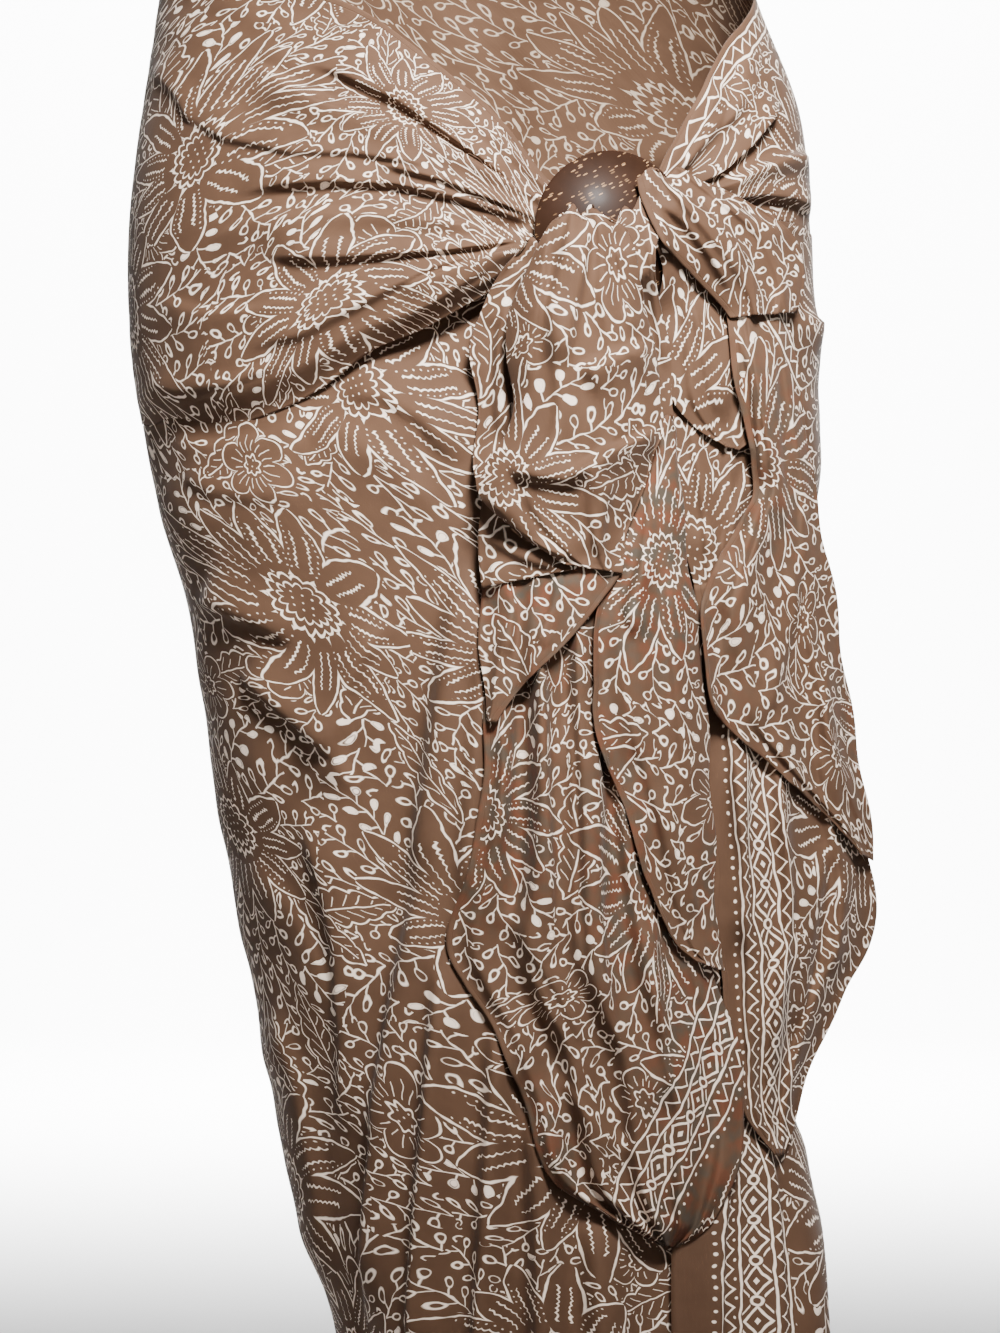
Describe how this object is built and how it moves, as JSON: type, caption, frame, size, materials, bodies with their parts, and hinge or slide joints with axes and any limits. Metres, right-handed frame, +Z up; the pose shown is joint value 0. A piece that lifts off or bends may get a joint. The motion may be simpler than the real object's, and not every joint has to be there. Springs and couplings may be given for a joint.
{
  "type": "sarong tied through a shell ring",
  "caption": "Worn sarong: a thin printed cloth wound round the hips, its corners drawn through a domed shell ring and hanging in folded tails.",
  "frame": {"origin": "on the body's axis at the height of the ring's middle, at hip level", "axes": "+X to the right seen from the front, +Y to the back, +Z up"},
  "size_m": [0.3681, 0.2693, 1.083],
  "materials": {
    "batik_cloth": "soft thin plain-woven rayon, brown ground with an off-white wax-resist print",
    "coconut_shell": "polished dark shell with short light flecks"
  },
  "bodies": {
    "root": {"back_fall": "batik_cloth", "left_fall": "batik_cloth", "right_fall": "batik_cloth", "left_band": "batik_cloth", "right_band": "batik_cloth", "ring": "coconut_shell", "ring_gather": "batik_cloth", "throat_inner": "batik_cloth", "throat_flap": "batik_cloth", "throat_fold": "batik_cloth", "right_tail_under": "batik_cloth", "left_tail_panel": "batik_cloth", "left_tail_roll": "batik_cloth", "left_tail_point": "batik_cloth", "left_tail_underturn": "batik_cloth", "left_tail_side": "batik_cloth", "left_tail_top": "batik_cloth", "right_tail_fold": "batik_cloth", "right_tail_middle": "batik_cloth", "right_tail_top": "batik_cloth"}
  },
  "joints": []
}
